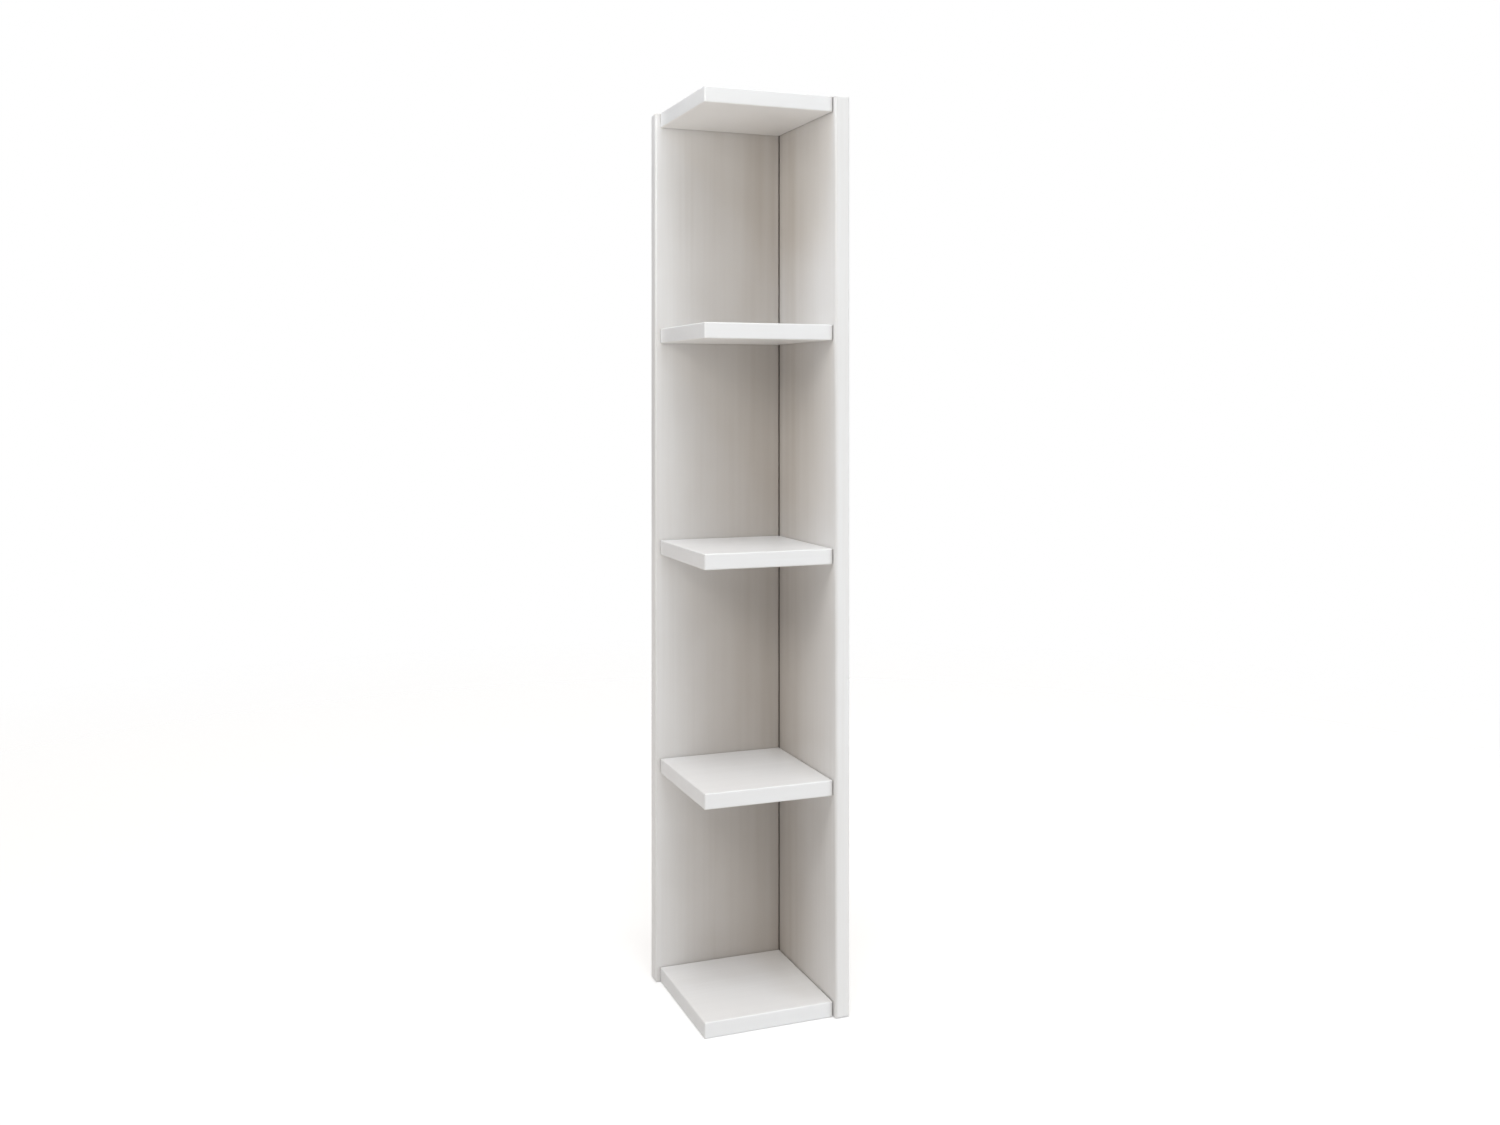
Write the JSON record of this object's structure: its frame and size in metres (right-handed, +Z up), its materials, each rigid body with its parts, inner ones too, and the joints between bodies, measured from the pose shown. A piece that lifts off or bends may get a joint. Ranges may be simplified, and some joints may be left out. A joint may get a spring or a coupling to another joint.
{
  "type": "miniature bookcase",
  "caption": "Tall narrow open corner bookcase for a dolls' house: two panels meet in an L and carry square shelves, with a flush top and bottom board.",
  "frame": {"origin": "centre of the footprint's bounding box, on the surface that the bookcase stands on", "axes": "+Z up the bookcase, +X to the right towards the side panel, +Y to the back towards the back panel; the open sides face -Y and -X"},
  "size_m": [0.0256, 0.0268, 0.15],
  "materials": {
    "painted_board": "satin white lacquer, sprayed thick over sanded board, faint vertical grain",
    "brad_steel": "bright drawn wire; the punched-in heads are painted over with the board"
  },
  "bodies": {
    "root": {"back_panel": "painted_board", "side_panel": "painted_board", "bottom_board": "painted_board", "lower_shelf": "painted_board", "middle_shelf": "painted_board", "upper_shelf": "painted_board", "top_board": "painted_board", "corner_brads": "brad_steel", "bottom_board_brads": "brad_steel", "lower_shelf_brads": "brad_steel", "middle_shelf_brads": "brad_steel", "upper_shelf_brads": "brad_steel", "top_board_brads": "brad_steel"}
  },
  "joints": []
}
